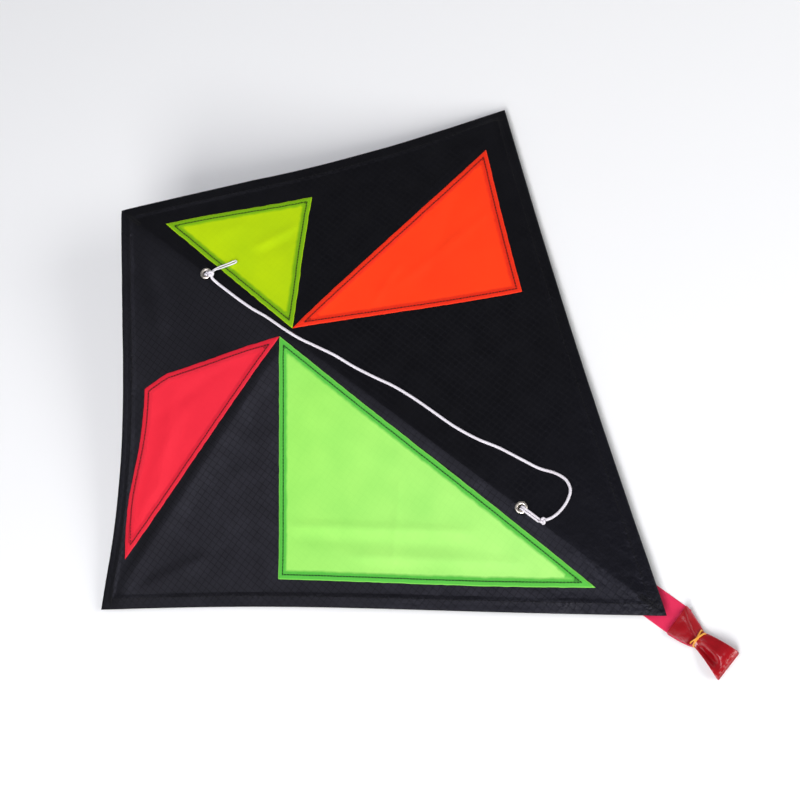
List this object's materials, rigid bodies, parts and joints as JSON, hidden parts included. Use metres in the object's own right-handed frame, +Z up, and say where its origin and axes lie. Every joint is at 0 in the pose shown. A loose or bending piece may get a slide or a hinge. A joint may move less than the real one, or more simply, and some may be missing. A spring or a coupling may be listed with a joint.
{
  "type": "diamond kite",
  "caption": "Diamond kite, face up, with a bent-back black sail, coloured cloth panels, cross-spar frame, slack bridle cord and a folded ribbon tail.",
  "frame": {"origin": "middle of the kite's footprint, on the ground it lies on", "axes": "+Y along the spine towards the nose, +X to the right with the face up and the nose away, +Z up out of the face"},
  "size_m": [0.5606, 0.6582, 0.0959],
  "materials": {
    "black_cloth": "black ripstop with a 5 mm grid and a slight sheen",
    "lime_cloth": "lime ripstop",
    "orange_cloth": "orange-red ripstop",
    "green_cloth": "bright green ripstop, slightly translucent",
    "red_cloth": "red ripstop",
    "webbing": "black woven webbing",
    "rod": "black glass-fibre rod",
    "vinyl": "soft black vinyl",
    "nickel": "bright nickel plate",
    "white_cord": "white braided polyester",
    "ribbon": "glossy dark red film ribbon, matt crimson on its other face",
    "rubber_band": "amber rubber"
  },
  "bodies": {
    "frame": {"spine_rod": "rod", "spine_nose_cap": "vinyl", "spine_tail_cap": "vinyl", "nose_pocket": "webbing", "tail_pocket": "webbing", "joiner_core": "vinyl", "sail_ridge_band": "black_cloth", "upper_eyelet": "nickel", "upper_eyelet_washer": "nickel", "lower_eyelet": "nickel", "lower_eyelet_washer": "nickel", "upper_bridle_loop": "white_cord", "upper_bridle_knot": "white_cord", "lower_bridle_loop": "white_cord", "tail_sewn_end": "ribbon"},
    "right_wing": {"sail_right": "black_cloth", "panel_lime": "lime_cloth", "panel_orange": "orange_cloth", "right_spar": "rod", "right_spar_cap": "vinyl", "right_tip_pocket": "webbing", "joiner_right_arm": "vinyl", "bridle_line": "white_cord", "bridle_tag_loop": "white_cord", "lower_bridle_knot": "white_cord"},
    "left_wing": {"sail_left": "black_cloth", "panel_green": "green_cloth", "panel_red": "red_cloth", "left_spar": "rod", "left_spar_cap": "vinyl", "left_tip_pocket": "webbing", "joiner_left_arm": "vinyl"},
    "tail": {"tail_ribbon": "ribbon", "tail_bundle": "ribbon", "rubber_band": "rubber_band"}
  },
  "joints": [
    {"name": "right_wing_flex", "type": "hinge", "parent": "frame", "child": "right_wing", "pos_m": [0, 0.12933, 0.06566], "axis": [0, 0.9889, 0.1483], "range_deg": [-12.5, 10], "stiffness_Nm_per_rad": 1.7, "springref_deg": 1.38},
    {"name": "left_wing_flex", "type": "hinge", "parent": "frame", "child": "left_wing", "pos_m": [0, 0.12933, 0.06566], "axis": [0, -0.9889, -0.1483], "range_deg": [-12.5, 10], "stiffness_Nm_per_rad": 1.7, "springref_deg": 1.38},
    {"name": "tail_swing", "type": "hinge", "parent": "frame", "child": "tail", "pos_m": [0, -0.26227, 0.0002], "axis": [-1, 0, 0], "range_deg": [-70, 70]}
  ]
}
